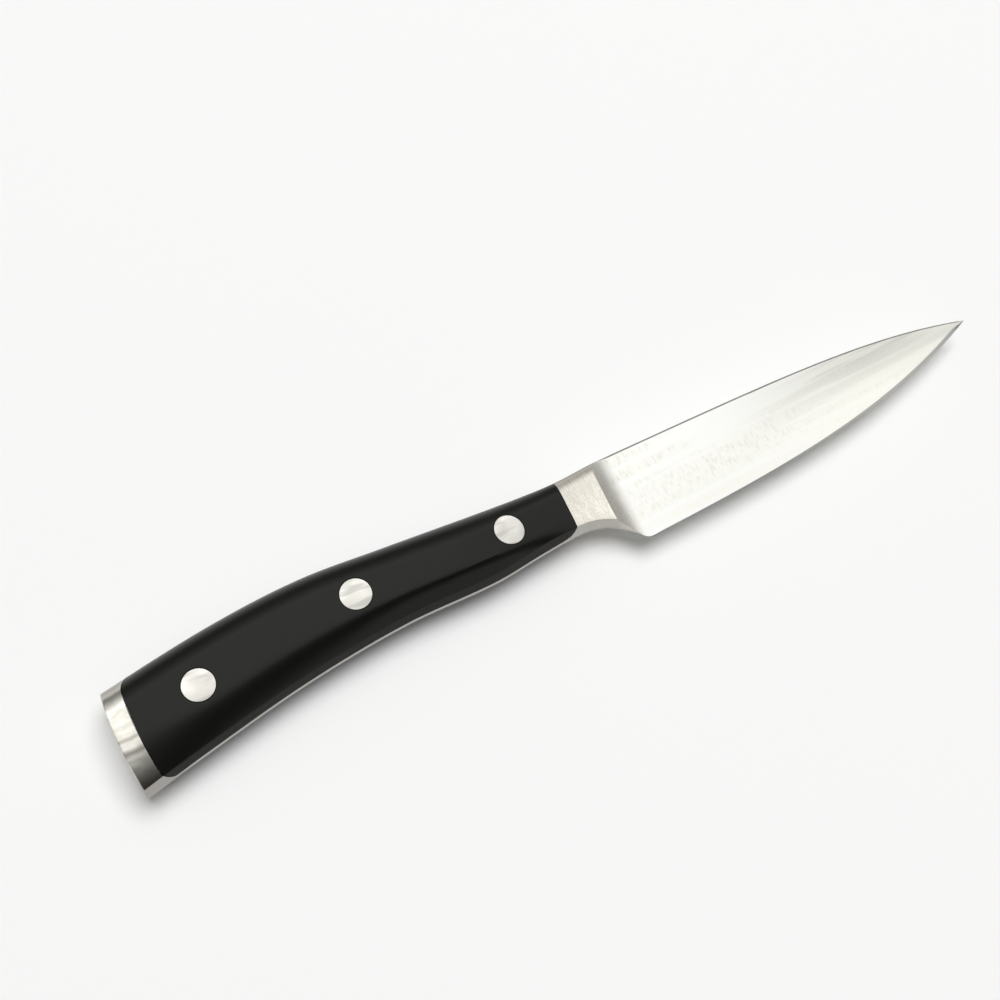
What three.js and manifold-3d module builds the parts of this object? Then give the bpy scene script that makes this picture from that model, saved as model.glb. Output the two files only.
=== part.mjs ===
// A forged paring knife with a full tang, lying on its side: one steel forging that is blade, bolster,
// tang and butt cap, two black scales and three two-part cutler's rivets.
// X runs from the butt to the tip, Y from the edge to the spine, Z through the thickness. Millimetres.
import * as THREE from "three";
import { mergeVertices } from "three/addons/utils/BufferGeometryUtils.js";
import Module from "manifold-3d";

// Lengths along the knife
const BUTT_CAP_LENGTH = 3.5;
const SCALE_LENGTH = 88.55;
const BOLSTER_LENGTH = 8.1;
const FILLET_LENGTH = 5.2; // from the bolster's front until it has run out on the blade
const BLADE_SETBACK = 3.75; // from the bolster's front to where the blade's spine starts
const HEEL_SETBACK = 0.5; // from there to the heel
const BLADE_LENGTH = 90.5; // heel to tip

// Blade
const BLADE_HEIGHT = 18.5; // spine to edge at the heel
const SPINE_THICKNESS = 1.9; // at the heel
const TIP_THICKNESS = 0.7; // of the spine just behind the tip
const HEEL_BEVEL = 0.2; // width of the sharpened bevel
const TIP_BEVEL = 0.9;
const BEVEL_POWER = 1.5; // how late the bevel widens
const BEVEL_ANGLE = 17; // degrees of each side of the edge
const SPINE_EASING_HEIGHT = 0.4; // of the eased corners of the spine
const SPINE_EASING_DEPTH = 0.25;
const TIP_HEIGHT = 10.7; // tip above the heel
const SPINE_FALL = 2.2; // straight fall of the spine over the blade's length
const SPINE_DROP_POWER = 4.4; // how late the spine curves down to the tip
const EDGE_RISE_POWER = 3.1; // how late the edge curves up to the tip
const HEEL_RADIUS = 3;
const CHOIL_RUN_IN = 1.0; // from the front of the scales to the start of the choil's arc

// Handle section
const HANDLE_THICKNESS = 14;
const BOLSTER_THICKNESS = 5.8;
const TAPER_LENGTH = 33; // over which the handle thins down to the bolster's front
const BELLY_LEAN = 14.5; // degrees that each half of the belly leans in from the middle
const HANDLE_CREASE_SHARE = 0.49; // half width of the belly as a share of the half thickness
const BOLSTER_CREASE_SHARE = 0.97;
const CROWN_POWER = 1.5; // fullness of the rounding towards the belly
const HANDLE_SHOULDER = 5.8; // height of the rounding towards the spine
const BOLSTER_SHOULDER = 3.4;
const SHOULDER_POWER = 2.4; // squareness of that rounding
const LAND_MARGIN = 0.4; // flat land left below a rivet head
const LAND_FLOOR = -1.7; // lowest height of the flat land
const BOLSTER_SLANT = 5.3; // degrees that both ends of the bolster lean forward at the spine

// Butt cap, tang and joints
const BUTT_RADIUS = 74; // rounding of the butt end in side view
const BUTT_ARC_HEIGHT = -2.2; // height of the rearmost point of the butt's arc
const JOINT_RADIUS = 62; // the same for the joint between butt cap and scales
const JOINT_ARC_HEIGHT = -1.3;
const TANG_THICKNESS = 1.5;
const JOINT_GAP = 0.15; // all round the ends of a scale
const BUTT_SPINE_CORNER = { length: 3.3, height: 3.3 }; // rounded corners of a scale in side view
const BUTT_BELLY_CORNER = { length: 4.4, height: 1.4 };
const FRONT_BELLY_CORNER = { length: 4.5, height: 1 };

// Rivets
const RIVET_HEAD = 6;
const RIVET_HEAD_THICKNESS = 2;
const RIVET_TUBE = 3.6;
const RIVET_PIN = 2;
const RIVET_GAP = 0.1; // radial, between a rivet and its hole, and between pin and tube
const RIVET_END_GAP = 0.5; // between the end of a tube or pin and what it points at
const REAR_RIVET_SETBACK = 12.4; // from the butt cap joint
const FRONT_RIVET_SETBACK = 13.1; // from the bolster joint

// Places along X, from the butt end
const BUTT_JOINT = BUTT_CAP_LENGTH;
const BOLSTER_JOINT = BUTT_JOINT + SCALE_LENGTH;
const BOLSTER_FRONT = BOLSTER_JOINT + BOLSTER_LENGTH;
const FILLET_END = BOLSTER_FRONT + FILLET_LENGTH;
const BLADE_START = BOLSTER_FRONT + BLADE_SETBACK;
const BLADE_ROOT = (BOLSTER_FRONT + BLADE_START) / 2; // where the blade's solid starts, inside the fillet
const HEEL = BLADE_START + HEEL_SETBACK;
const TIP = HEEL + BLADE_LENGTH;

// Heights of the handle's outline: share of the length from butt to bolster, height above the axis
const SPINE_LINE = [
  [0, 9.1],
  [0.24, 11.72],
  [0.436, 12.28],
  [0.62, 10.67],
  [0.82, 8.79],
  [1, 7.72],
];
const BELLY_LINE = [
  [0, -10.8],
  [0.153, -8.33],
  [0.37, -5.5],
  [0.59, -4.2],
  [0.795, -4.85],
  [0.915, -4.1],
  [1, -3.75],
];
const BELLY_START_SLOPE = 0.19;
const SPINE_START_SLOPE = 0.13;
const BLADE_SPINE = 7.95; // height of the spine where the blade starts
const HEEL_HEIGHT = BLADE_SPINE - BLADE_HEIGHT;

// Fineness of the solids
const HANDLE_STATIONS = 44;
const CROWN_STEPS = 4;
const SHOULDER_STEPS = 6;
const EDGE_STATIONS = 40;
const FILLET_STEPS = 10;
const CHOIL_STEPS = 6;
const HEEL_STEPS = 6;
const ARC_STEPS = 16;
const CORNER_STEPS = 8;
const JOINT_STEPS = 12;
const RIVET_SIDES = 36;
const FILLET_DEPTH = 0.97; // share of the blade's thickness where the fillet ends, just inside it
const TIP_BLUNTNESS = 0.001; // share of the blade's last section that is left at its tip
const SAME_POINT = 1e-4; // corners closer than this are one
const SPINE_REACH = 30; // any height well clear of the knife
const SIDE_REACH = 20; // any thickness well clear of the knife

const radians = THREE.MathUtils.degToRad;
const lerp = THREE.MathUtils.lerp;
const clamp = THREE.MathUtils.clamp;
const bolsterShear = Math.tan(radians(BOLSTER_SLANT));

const wasm = await Module();
wasm.setup();

// A smooth height along X through a few points, with given slopes at its two ends.
function smoothLine(points, startSlope, endSlope) {
  const slopes = points.map((point, i) => {
    if (i === 0) return startSlope;
    if (i === points.length - 1) return endSlope;
    return (points[i + 1][1] - points[i - 1][1]) / (points[i + 1][0] - points[i - 1][0]);
  });
  return (x) => {
    let i = 0;
    while (i < points.length - 2 && x > points[i + 1][0]) i += 1;
    const [x0, y0] = points[i];
    const [x1, y1] = points[i + 1];
    const width = x1 - x0;
    if (x < x0) return y0 + (x - x0) * slopes[i];
    if (x > x1) return y1 + (x - x1) * slopes[i + 1];
    const t = (x - x0) / width;
    const rise = t * t * (3 - 2 * t);
    const leave = t * (1 - t) * (1 - t);
    const arrive = t * t * (t - 1);
    return y0 + (y1 - y0) * rise + width * (slopes[i] * leave + slopes[i + 1] * arrive);
  };
}

const alongHandle = ([share, height]) => [share * BOLSTER_JOINT, height];
const handleSpine = smoothLine(
  [...SPINE_LINE.map(alongHandle), [BLADE_START, BLADE_SPINE]],
  SPINE_START_SLOPE,
  -SPINE_FALL / BLADE_LENGTH,
);
const handleBelly = smoothLine(BELLY_LINE.map(alongHandle), BELLY_START_SLOPE, 0);

// The choil is one arc, level where it leaves the handle, down to the heel.
const CHOIL_START = BOLSTER_JOINT + CHOIL_RUN_IN;
const CHOIL_TOP = handleBelly(CHOIL_START);
const CHOIL_DROP = CHOIL_TOP - HEEL_HEIGHT;
const CHOIL_RADIUS = ((HEEL - CHOIL_START) ** 2 + CHOIL_DROP ** 2) / (2 * CHOIL_DROP);
const CHOIL_ANGLE = Math.asin((HEEL - CHOIL_START) / CHOIL_RADIUS);
const HEEL_CUT = HEEL_RADIUS * Math.tan(CHOIL_ANGLE / 2);
const HEEL_ROUND_START = HEEL - HEEL_CUT * Math.cos(CHOIL_ANGLE);
const HEEL_ROUND_END = HEEL + HEEL_CUT;

function spineHeight(x) {
  if (x < BLADE_START) return handleSpine(x);
  const t = (x - BLADE_START) / (TIP - BLADE_START);
  const curved = BLADE_SPINE - SPINE_FALL - HEEL_HEIGHT - TIP_HEIGHT;
  return BLADE_SPINE - SPINE_FALL * t - curved * t ** SPINE_DROP_POWER;
}

function bellyHeight(x) {
  if (x < CHOIL_START) return handleBelly(x);
  const run = Math.min(x - CHOIL_START, HEEL - CHOIL_START);
  return CHOIL_TOP - CHOIL_RADIUS + Math.sqrt(CHOIL_RADIUS ** 2 - run ** 2);
}

const edgeHeight = (x) => HEEL_HEIGHT + TIP_HEIGHT * ((x - HEEL) / BLADE_LENGTH) ** EDGE_RISE_POWER;

// The lower outline of the whole knife: belly, choil, rounded heel and edge.
function lowHeight(x) {
  if (x < HEEL_ROUND_START) return bellyHeight(x);
  if (x > HEEL_ROUND_END) return edgeHeight(x);
  const lead = HEEL - HEEL_ROUND_START;
  const run = x - HEEL_ROUND_START;
  const t = run / (lead + Math.sqrt(lead ** 2 + (HEEL_CUT - lead) * run));
  const choilShare = (1 - t) ** 2;
  const edgeShare = t ** 2;
  const cornerShare = 1 - choilShare - edgeShare;
  const choil = bellyHeight(HEEL_ROUND_START);
  return choil * choilShare + HEEL_HEIGHT * cornerShare + edgeHeight(HEEL_ROUND_END) * edgeShare;
}

const taperAt = (x) => THREE.MathUtils.smoothstep(x, BOLSTER_FRONT - TAPER_LENGTH, BOLSTER_FRONT);
const handleHalf = (x) => lerp(HANDLE_THICKNESS, BOLSTER_THICKNESS, taperAt(x)) / 2;
const middleHeight = (x) => (spineHeight(x) + bellyHeight(x)) / 2;

// Half width of the belly, where the crease between belly and side lies.
function creaseWidth(x) {
  const along = Math.min(taperAt(x) / taperAt(BOLSTER_JOINT), 1);
  return handleHalf(x) * lerp(HANDLE_CREASE_SHARE, BOLSTER_CREASE_SHARE, along);
}

// One section of the handle, from the belly round the upper side to the spine and back underneath.
function handleSection(x) {
  const spine = spineHeight(x);
  const belly = lowHeight(x);
  const half = handleHalf(x);
  const crease = creaseWidth(x);
  const creaseHeight = belly + crease * Math.tan(radians(BELLY_LEAN));
  const landLow = Math.max(middleHeight(x) - RIVET_HEAD / 2 - LAND_MARGIN, LAND_FLOOR);
  const landHigh = spine - lerp(HANDLE_SHOULDER, BOLSTER_SHOULDER, taperAt(x));
  const upper = [];
  for (let i = 0; i <= CROWN_STEPS; i += 1) {
    const s = i / CROWN_STEPS;
    upper.push([lerp(creaseHeight, landLow, s), half - (half - crease) * (1 - s) ** CROWN_POWER]);
  }
  for (let i = 0; i < SHOULDER_STEPS; i += 1) {
    const angle = (i / SHOULDER_STEPS) * (Math.PI / 2);
    const across = Math.sin(angle) ** (2 / SHOULDER_POWER);
    upper.push([lerp(landHigh, spine, across), half * Math.cos(angle) ** (2 / SHOULDER_POWER)]);
  }
  const lower = upper.map(([y, z]) => [y, -z]).reverse();
  return [[belly, 0], ...upper, [spine, 0], ...lower].map(([y, z]) => new THREE.Vector3(x, y, z));
}

// A closed skin over equal rings of points, each end closed by a fan round its middle.
function loft(rings) {
  const count = rings[0].length;
  const middles = [rings[0], rings.at(-1)].map((ring) =>
    ring.reduce((sum, point) => sum.add(point), new THREE.Vector3()).divideScalar(count),
  );
  const points = [...rings.flat(), ...middles];
  const last = (rings.length - 1) * count;
  const [startMiddle, endMiddle] = [points.length - 2, points.length - 1];
  const index = [];
  for (let i = 0; i < count; i += 1) {
    const next = (i + 1) % count;
    for (let row = 0; row < last; row += count) {
      index.push(row + i, row + count + next, row + next);
      index.push(row + i, row + count + i, row + count + next);
    }
    index.push(startMiddle, i, next);
    index.push(endMiddle, last + next, last + i);
  }
  const geometry = new THREE.BufferGeometry().setFromPoints(points);
  geometry.setIndex(index);
  return geometry;
}

// A closed three.js geometry as a solid that can be joined and cut.
function solid(geometry) {
  const bare = geometry.clone();
  bare.deleteAttribute("normal");
  bare.deleteAttribute("uv");
  const merged = mergeVertices(bare, SAME_POINT);
  const triVerts = new Uint32Array(merged.index.array);
  return new wasm.Manifold(
    new wasm.Mesh({ numProp: 3, vertProperties: merged.attributes.position.array, triVerts }),
  );
}

// A side-view outline as a solid between two heights of Z.
function plate(shape, low, high) {
  const options = { depth: high - low, bevelEnabled: false, curveSegments: ARC_STEPS };
  const geometry = new THREE.ExtrudeGeometry(shape, options);
  return solid(geometry.translate(0, 0, low));
}

// The handle's outer form, from behind the butt end to where the bolster has run out on the blade.
function handleForm() {
  const end = FILLET_END + bolsterShear * BLADE_SPINE;
  const xs = [];
  for (let i = 0; i <= HANDLE_STATIONS; i += 1) {
    xs.push(lerp(-BUTT_CAP_LENGTH, end, i / HANDLE_STATIONS));
  }
  const form = solid(loft(xs.map(handleSection)));
  const side = new THREE.Shape();
  const lean = Math.asin(SPINE_REACH / BUTT_RADIUS);
  side.absarc(BUTT_RADIUS, BUTT_ARC_HEIGHT, BUTT_RADIUS, Math.PI - lean, Math.PI + lean);
  side.lineTo(TIP, BUTT_ARC_HEIGHT - SPINE_REACH);
  side.lineTo(TIP, BUTT_ARC_HEIGHT + SPINE_REACH);
  return form.intersect(plate(side, -SIDE_REACH, SIDE_REACH));
}

// X of the joints at the two ends of a scale, at a height.
function rearJoint(y) {
  const reach = Math.sqrt(JOINT_RADIUS ** 2 - (y - JOINT_ARC_HEIGHT) ** 2);
  return BUTT_JOINT + JOINT_RADIUS - reach;
}

function frontJoint(y) {
  return BOLSTER_JOINT + bolsterShear * y;
}

// An elliptical corner of a scale, from one of its ends to the spine or the belly.
function scaleCorner(joint, inward, line, upward, { length, height }, gap) {
  const points = [];
  for (let i = 0; i <= CORNER_STEPS; i += 1) {
    const angle = (i / CORNER_STEPS) * (Math.PI / 2);
    const over = inward * (gap + (length - gap) * (1 - Math.cos(angle)));
    const rise = upward * ((height - gap) * Math.sin(angle) - height);
    const x = joint(line(joint(0) + over) + rise) + over;
    points.push(new THREE.Vector2(x, line(x) + rise));
  }
  return points;
}

// The side view of a scale, open past the spine and the belly, drawn in by a gap all round its ends.
function scaleOutline(gap) {
  const top = scaleCorner(rearJoint, 1, spineHeight, 1, BUTT_SPINE_CORNER, gap);
  const low = scaleCorner(rearJoint, 1, bellyHeight, -1, BUTT_BELLY_CORNER, gap);
  const front = scaleCorner(frontJoint, -1, bellyHeight, -1, FRONT_BELLY_CORNER, gap);
  const rear = [];
  for (let i = 1; i < JOINT_STEPS; i += 1) {
    const y = lerp(top[0].y, low[0].y, i / JOINT_STEPS);
    rear.push(new THREE.Vector2(rearJoint(y) + gap, y));
  }
  return new THREE.Shape([
    new THREE.Vector2(top.at(-1).x, SPINE_REACH),
    ...top.reverse(),
    ...rear,
    ...low,
    new THREE.Vector2(low.at(-1).x, -SPINE_REACH),
    new THREE.Vector2(front.at(-1).x, -SPINE_REACH),
    ...front.reverse(),
    new THREE.Vector2(frontJoint(SPINE_REACH) - gap, SPINE_REACH),
  ]);
}

// Share of the way along the blade, width of its sharpened bevel and half the thickness at the bevel's top.
const alongBlade = (x) => clamp((x - HEEL) / BLADE_LENGTH, 0, 1);
const bevelWidth = (x) => lerp(HEEL_BEVEL, TIP_BEVEL, alongBlade(x) ** BEVEL_POWER);
const edgeHalf = (x) => bevelWidth(x) * Math.tan(radians(BEVEL_ANGLE));

// What is left of the bolster by its front fillet, which runs out level with the blade's two faces.
function filletForm() {
  const profile = (y) => {
    const up = Math.max(y - HEEL_HEIGHT, 0) / BLADE_HEIGHT;
    const face = lerp(edgeHalf(HEEL), SPINE_THICKNESS / 2, up) * FILLET_DEPTH;
    const upper = [];
    for (let i = 0; i <= FILLET_STEPS; i += 1) {
      const run = i / FILLET_STEPS;
      upper.push([lerp(FILLET_END, BOLSTER_FRONT, run), lerp(face, BOLSTER_THICKNESS / 2, run ** 2)]);
    }
    upper.push([BOLSTER_FRONT, SIDE_REACH], [-BUTT_CAP_LENGTH - SPINE_REACH, SIDE_REACH]);
    const lower = upper.map(([x, z]) => [x, -z]).reverse();
    return [...upper, ...lower].map(([x, z]) => new THREE.Vector3(x + bolsterShear * y, y, z));
  };
  return solid(loft([-SPINE_REACH, HEEL_HEIGHT, SPINE_REACH].map(profile)));
}

// The lower outline of the blade, from inside the bolster over the choil and the heel to the tip.
function bladeUnderside() {
  const points = [];
  const follow = (start, end, steps) => {
    for (let i = 0; i < steps; i += 1) {
      const x = lerp(start, end, i / steps);
      points.push(new THREE.Vector2(x, lowHeight(x)));
    }
  };
  follow(BLADE_ROOT, HEEL_ROUND_START, CHOIL_STEPS);
  follow(HEEL_ROUND_START, HEEL_ROUND_END, HEEL_STEPS);
  follow(HEEL_ROUND_END, TIP, EDGE_STATIONS);
  return points;
}

// One section of the blade: sharpened bevel, flat faces and an eased spine.
function bladeSection({ x, y: low }) {
  const spine = spineHeight(x);
  const edge = Math.min(low, x < HEEL ? HEEL_HEIGHT : edgeHeight(x));
  const spineHalf = lerp(SPINE_THICKNESS, TIP_THICKNESS, alongBlade(x)) / 2;
  const lowHalf = Math.min(edgeHalf(x), spineHalf);
  const halfAt = (y) => lerp(lowHalf, spineHalf, (y - edge) / (spine - edge));
  const bevelRun = clamp((x - HEEL) / HEEL_RADIUS, 0, 1);
  const bevelTop = low + Math.min(bevelWidth(x), (spine - low) / 3) * bevelRun;
  const easingLow = spine - Math.min(SPINE_EASING_HEIGHT, (spine - low) / 4);
  const easingDepth = Math.min(SPINE_EASING_DEPTH, spineHalf / 2);
  const upper = [
    [bevelTop, halfAt(bevelTop)],
    [easingLow, halfAt(easingLow)],
    [spine, spineHalf - easingDepth],
  ];
  const lower = upper.map(([y, z]) => [y, -z]).reverse();
  return [[low, 0], ...upper, ...lower].map(([y, z]) => new THREE.Vector3(x, y, z));
}

function bladeForm() {
  const rings = bladeUnderside().map(bladeSection);
  const tip = new THREE.Vector3(TIP, HEEL_HEIGHT + TIP_HEIGHT, 0);
  const point = rings.at(-1).map((corner) => corner.clone().lerp(tip, 1 - TIP_BLUNTNESS));
  return solid(loft([...rings, point]));
}

// A round bar along Z.
function bar(place, diameter, low, high) {
  const geometry = new THREE.CylinderGeometry(diameter / 2, diameter / 2, high - low, RIVET_SIDES);
  return solid(geometry.rotateX(Math.PI / 2).translate(place.x, place.y, (low + high) / 2));
}

// A turned piece along Z, from its radii and heights.
function turned(place, profile) {
  const points = profile.map(([radius, z]) => new THREE.Vector2(radius, z));
  const geometry = new THREE.LatheGeometry(points, RIVET_SIDES);
  return solid(geometry.rotateX(Math.PI / 2).translate(place.x, place.y, 0));
}

const steel = new THREE.MeshStandardMaterial({ color: 0xd4d0c6, roughness: 0.28, metalness: 1 });
const rivetSteel = new THREE.MeshStandardMaterial({ color: 0xe6e3da, roughness: 0.22, metalness: 1 });
const blackPlastic = new THREE.MeshStandardMaterial({ color: 0x1a1a19, roughness: 0.42, metalness: 0 });

function named(name, body, material) {
  const { vertProperties, triVerts } = body.getMesh();
  const geometry = new THREE.BufferGeometry();
  geometry.setAttribute("position", new THREE.BufferAttribute(vertProperties, 3));
  geometry.setIndex(new THREE.BufferAttribute(triVerts, 1));
  geometry.computeVertexNormals();
  const mesh = new THREE.Mesh(geometry, material);
  mesh.name = name;
  return mesh;
}

const rearRivet = BUTT_JOINT + REAR_RIVET_SETBACK;
const frontRivet = BOLSTER_JOINT - FRONT_RIVET_SETBACK;
const rivets = [
  ["rear", rearRivet],
  ["middle", (rearRivet + frontRivet) / 2],
  ["front", frontRivet],
].map(([name, x]) => ({ name, x, y: middleHeight(x), seat: handleHalf(x) - RIVET_HEAD_THICKNESS }));

const form = handleForm();
const tangHalf = TANG_THICKNESS / 2;

// The forging: the handle's form with a pocket for each scale, joined to the blade, drilled for the rivets.
let forging = form
  .subtract(plate(scaleOutline(0), tangHalf, SIDE_REACH))
  .subtract(plate(scaleOutline(0), -SIDE_REACH, -tangHalf))
  .intersect(filletForm())
  .add(bladeForm());
for (const rivet of rivets) {
  forging = forging.subtract(bar(rivet, RIVET_TUBE + 2 * RIVET_GAP, -HANDLE_THICKNESS, HANDLE_THICKNESS));
}

// A scale on one side of the tang, with a hole and a head recess for each rivet.
function scale(side) {
  const [low, high] = side > 0 ? [tangHalf, SIDE_REACH] : [-SIDE_REACH, -tangHalf];
  let body = form.intersect(plate(scaleOutline(JOINT_GAP), low, high));
  for (const rivet of rivets) {
    const [floor, roof] = side > 0 ? [rivet.seat, SIDE_REACH] : [-SIDE_REACH, -rivet.seat];
    body = body
      .subtract(bar(rivet, RIVET_TUBE + 2 * RIVET_GAP, -SIDE_REACH, SIDE_REACH))
      .subtract(bar(rivet, RIVET_HEAD + 2 * RIVET_GAP, floor, roof));
  }
  return body;
}

// The two halves of a rivet: a head with a tube above, a head with a pin that goes up into it below.
function rivetTube({ x, y, seat }) {
  const bore = RIVET_PIN / 2 + RIVET_GAP;
  const profile = [
    [0, seat],
    [bore, seat],
    [bore, RIVET_END_GAP - seat],
    [RIVET_TUBE / 2, RIVET_END_GAP - seat],
    [RIVET_TUBE / 2, seat],
    [RIVET_HEAD / 2, seat],
    [RIVET_HEAD / 2, SIDE_REACH],
    [0, SIDE_REACH],
  ];
  return turned({ x, y }, profile).intersect(form);
}

function rivetPin({ x, y, seat }) {
  const profile = [
    [0, -SIDE_REACH],
    [RIVET_HEAD / 2, -SIDE_REACH],
    [RIVET_HEAD / 2, -seat],
    [RIVET_PIN / 2, -seat],
    [RIVET_PIN / 2, seat - RIVET_END_GAP],
    [0, seat - RIVET_END_GAP],
  ];
  return turned({ x, y }, profile).intersect(form);
}

const knife = new THREE.Group();
knife.add(named("forged_blade", forging, steel));
knife.add(named("upper_scale", scale(1), blackPlastic));
knife.add(named("lower_scale", scale(-1), blackPlastic));
for (const rivet of rivets) {
  knife.add(named(`${rivet.name}_rivet_tube`, rivetTube(rivet), rivetSteel));
  knife.add(named(`${rivet.name}_rivet_pin`, rivetPin(rivet), rivetSteel));
}

// The origin is under the middle of the knife, on the surface that it lies on.
const box = new THREE.Box3().setFromObject(knife);
const centre = box.getCenter(new THREE.Vector3());
knife.position.set(-centre.x, -centre.y, -box.min.z);

export default knife;
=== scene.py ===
"""A forged paring knife lying on its side on a white table. Metres.

X runs from the butt to the tip, Y from the edge to the spine, Z up through the thickness. The shapes are
worked out in the knife's own coordinates, from the butt end and the middle of the thickness, and then
moved to the frame.
"""
import math

import bpy
import numpy as np
from mathutils import Matrix, Vector


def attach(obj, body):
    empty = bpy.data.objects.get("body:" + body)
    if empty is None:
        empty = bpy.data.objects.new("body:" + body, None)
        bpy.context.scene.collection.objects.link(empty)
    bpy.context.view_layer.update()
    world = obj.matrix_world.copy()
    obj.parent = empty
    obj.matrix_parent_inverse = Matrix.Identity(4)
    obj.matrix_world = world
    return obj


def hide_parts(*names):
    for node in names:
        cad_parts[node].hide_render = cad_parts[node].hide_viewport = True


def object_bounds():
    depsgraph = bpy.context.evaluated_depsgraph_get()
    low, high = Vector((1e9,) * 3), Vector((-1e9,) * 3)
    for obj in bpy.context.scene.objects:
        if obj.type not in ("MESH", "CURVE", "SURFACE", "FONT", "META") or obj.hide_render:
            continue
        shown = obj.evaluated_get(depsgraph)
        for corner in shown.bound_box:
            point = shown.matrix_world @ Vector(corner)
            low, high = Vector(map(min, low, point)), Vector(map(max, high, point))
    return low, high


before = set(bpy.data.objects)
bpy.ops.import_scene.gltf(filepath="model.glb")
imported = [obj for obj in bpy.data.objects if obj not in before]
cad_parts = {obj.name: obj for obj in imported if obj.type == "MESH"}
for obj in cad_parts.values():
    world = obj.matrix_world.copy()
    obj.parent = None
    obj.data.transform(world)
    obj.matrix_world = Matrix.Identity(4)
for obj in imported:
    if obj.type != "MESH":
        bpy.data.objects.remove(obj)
cad_low, cad_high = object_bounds()

# Lengths along the knife
BUTT_CAP_LENGTH = 0.0035
SCALE_LENGTH = 0.08855
BOLSTER_LENGTH = 0.0081
FILLET_LENGTH = 0.0052  # from the bolster's front until it has run out on the blade
BLADE_SETBACK = 0.00375  # from the bolster's front to where the blade's spine starts
HEEL_SETBACK = 0.0005  # from there to the heel
BLADE_LENGTH = 0.0905  # heel to tip

# Blade
BLADE_HEIGHT = 0.0185  # spine to edge at the heel
SPINE_THICKNESS = 0.0019  # at the heel
TIP_THICKNESS = 0.0007  # of the spine just behind the tip
HEEL_BEVEL = 0.0002  # width of the sharpened bevel
TIP_BEVEL = 0.0009
BEVEL_POWER = 1.5  # how late the bevel widens
BEVEL_LIMIT = 1 / 3  # most that it takes of the blade's height
BEVEL_ANGLE = math.radians(17)  # of each side of the edge
SPINE_EASING = (0.0004, 0.00025)  # height and depth of the eased corners of the spine
SPINE_EASING_LIMIT = (1 / 4, 1 / 2)  # most that they take of the blade's height and half thickness
TIP_HEIGHT = 0.0107  # tip above the heel
SPINE_FALL = 0.0022  # straight fall of the spine over the blade's length
SPINE_DROP_POWER = 4.4  # how late the spine curves down to the tip
EDGE_RISE_POWER = 3.1  # how late the edge curves up to the tip
HEEL_RADIUS = 0.003
CHOIL_RUN_IN = 0.0010  # from the front of the scales to the start of the choil's arc

# Handle section
HANDLE_THICKNESS = 0.014
BOLSTER_THICKNESS = 0.0058
TAPER_LENGTH = 0.033  # over which the handle thins down to the bolster's front
BELLY_LEAN = math.radians(14.5)  # that each half of the belly leans in from the middle
HANDLE_CREASE_SHARE = 0.49  # half width of the belly as a share of the half thickness
BOLSTER_CREASE_SHARE = 0.97
HANDLE_CREASE_RADIUS = 0.0002  # softening of the belly's crease
BOLSTER_CREASE_RADIUS = 0.00012
CREASE_LIMIT = 0.3  # most of that softening, as a share of the belly's half width
CREASE_HEIGHT_LIMIT = 1 / 8  # and as a share of the knife's height
CREASE_REACH = 0.6  # of that softening on the side, as a share of its reach on the belly
CROWN_POWER = 1.5  # fullness of the rounding towards the belly
HANDLE_SHOULDER = 0.0058  # height of the rounding towards the spine
BOLSTER_SHOULDER = 0.0034
SHOULDER_POWER = 2.4  # squareness of that rounding
LAND_MARGIN = 0.0004  # flat land left below a rivet head
LAND_FLOOR = -0.0017  # lowest height of the flat land
BOLSTER_SLANT = math.radians(5.3)  # that both ends of the bolster lean forward at the spine

# Butt cap, tang and joints
BUTT_RADIUS = 0.074  # rounding of the butt end in side view
BUTT_ARC_HEIGHT = -0.0022  # height of the rearmost point of the butt's arc
BUTT_RIM = 0.00025  # rounding of the rim of the butt end
JOINT_RADIUS = 0.062  # rounding of the joint between butt cap and scales in side view
JOINT_ARC_HEIGHT = -0.0013  # height of the rearmost point of the joint's arc
TANG_THICKNESS = 0.0015
JOINT_GAP = 0.00015  # all round the ends of a scale
BUTT_SPINE_CORNER = (0.0033, 0.0033)  # length and height of the rounded corners of a scale in side view
BUTT_BELLY_CORNER = (0.0044, 0.0014)
FRONT_BELLY_CORNER = (0.0045, 0.0010)

# Rivets
RIVET_HEAD = 0.006
RIVET_HEAD_THICKNESS = 0.002
RIVET_TUBE = 0.0036
RIVET_PIN = 0.002
RIVET_GAP = 0.0001  # radial, between a rivet and its hole, and between pin and tube
RIVET_END_GAP = 0.0005  # between the end of a tube or pin and what it points at
RIVET_HOLE = RIVET_TUBE + 2 * RIVET_GAP
RIVET_RECESS = RIVET_HEAD + 2 * RIVET_GAP
RIVET_RIM = 0.00012  # rounding of a head's rim
REAR_RIVET_SETBACK = 0.0124  # from the butt cap joint
FRONT_RIVET_SETBACK = 0.0131  # from the bolster joint

# Places along X, from the butt end
BUTT_JOINT = BUTT_CAP_LENGTH
BOLSTER_JOINT = BUTT_JOINT + SCALE_LENGTH
BOLSTER_FRONT = BOLSTER_JOINT + BOLSTER_LENGTH
FILLET_END = BOLSTER_FRONT + FILLET_LENGTH
BLADE_START = BOLSTER_FRONT + BLADE_SETBACK
HEEL = BLADE_START + HEEL_SETBACK
TIP = HEEL + BLADE_LENGTH

# Heights of the handle's outline: share of the length from butt to bolster, height above the axis
SPINE_LINE = [
    (0, 0.0091),
    (0.24, 0.01172),
    (0.436, 0.01228),
    (0.62, 0.01067),
    (0.82, 0.00879),
    (1, 0.00772),
]
BELLY_LINE = [
    (0, -0.0108),
    (0.153, -0.00833),
    (0.37, -0.0055),
    (0.59, -0.0042),
    (0.795, -0.00485),
    (0.915, -0.0041),
    (1, -0.00375),
]
SPINE_START_SLOPE = 0.13
BELLY_START_SLOPE = 0.19
BLADE_SPINE = 0.00795  # height of the spine where the blade starts
HEEL_HEIGHT = BLADE_SPINE - BLADE_HEIGHT

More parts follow.
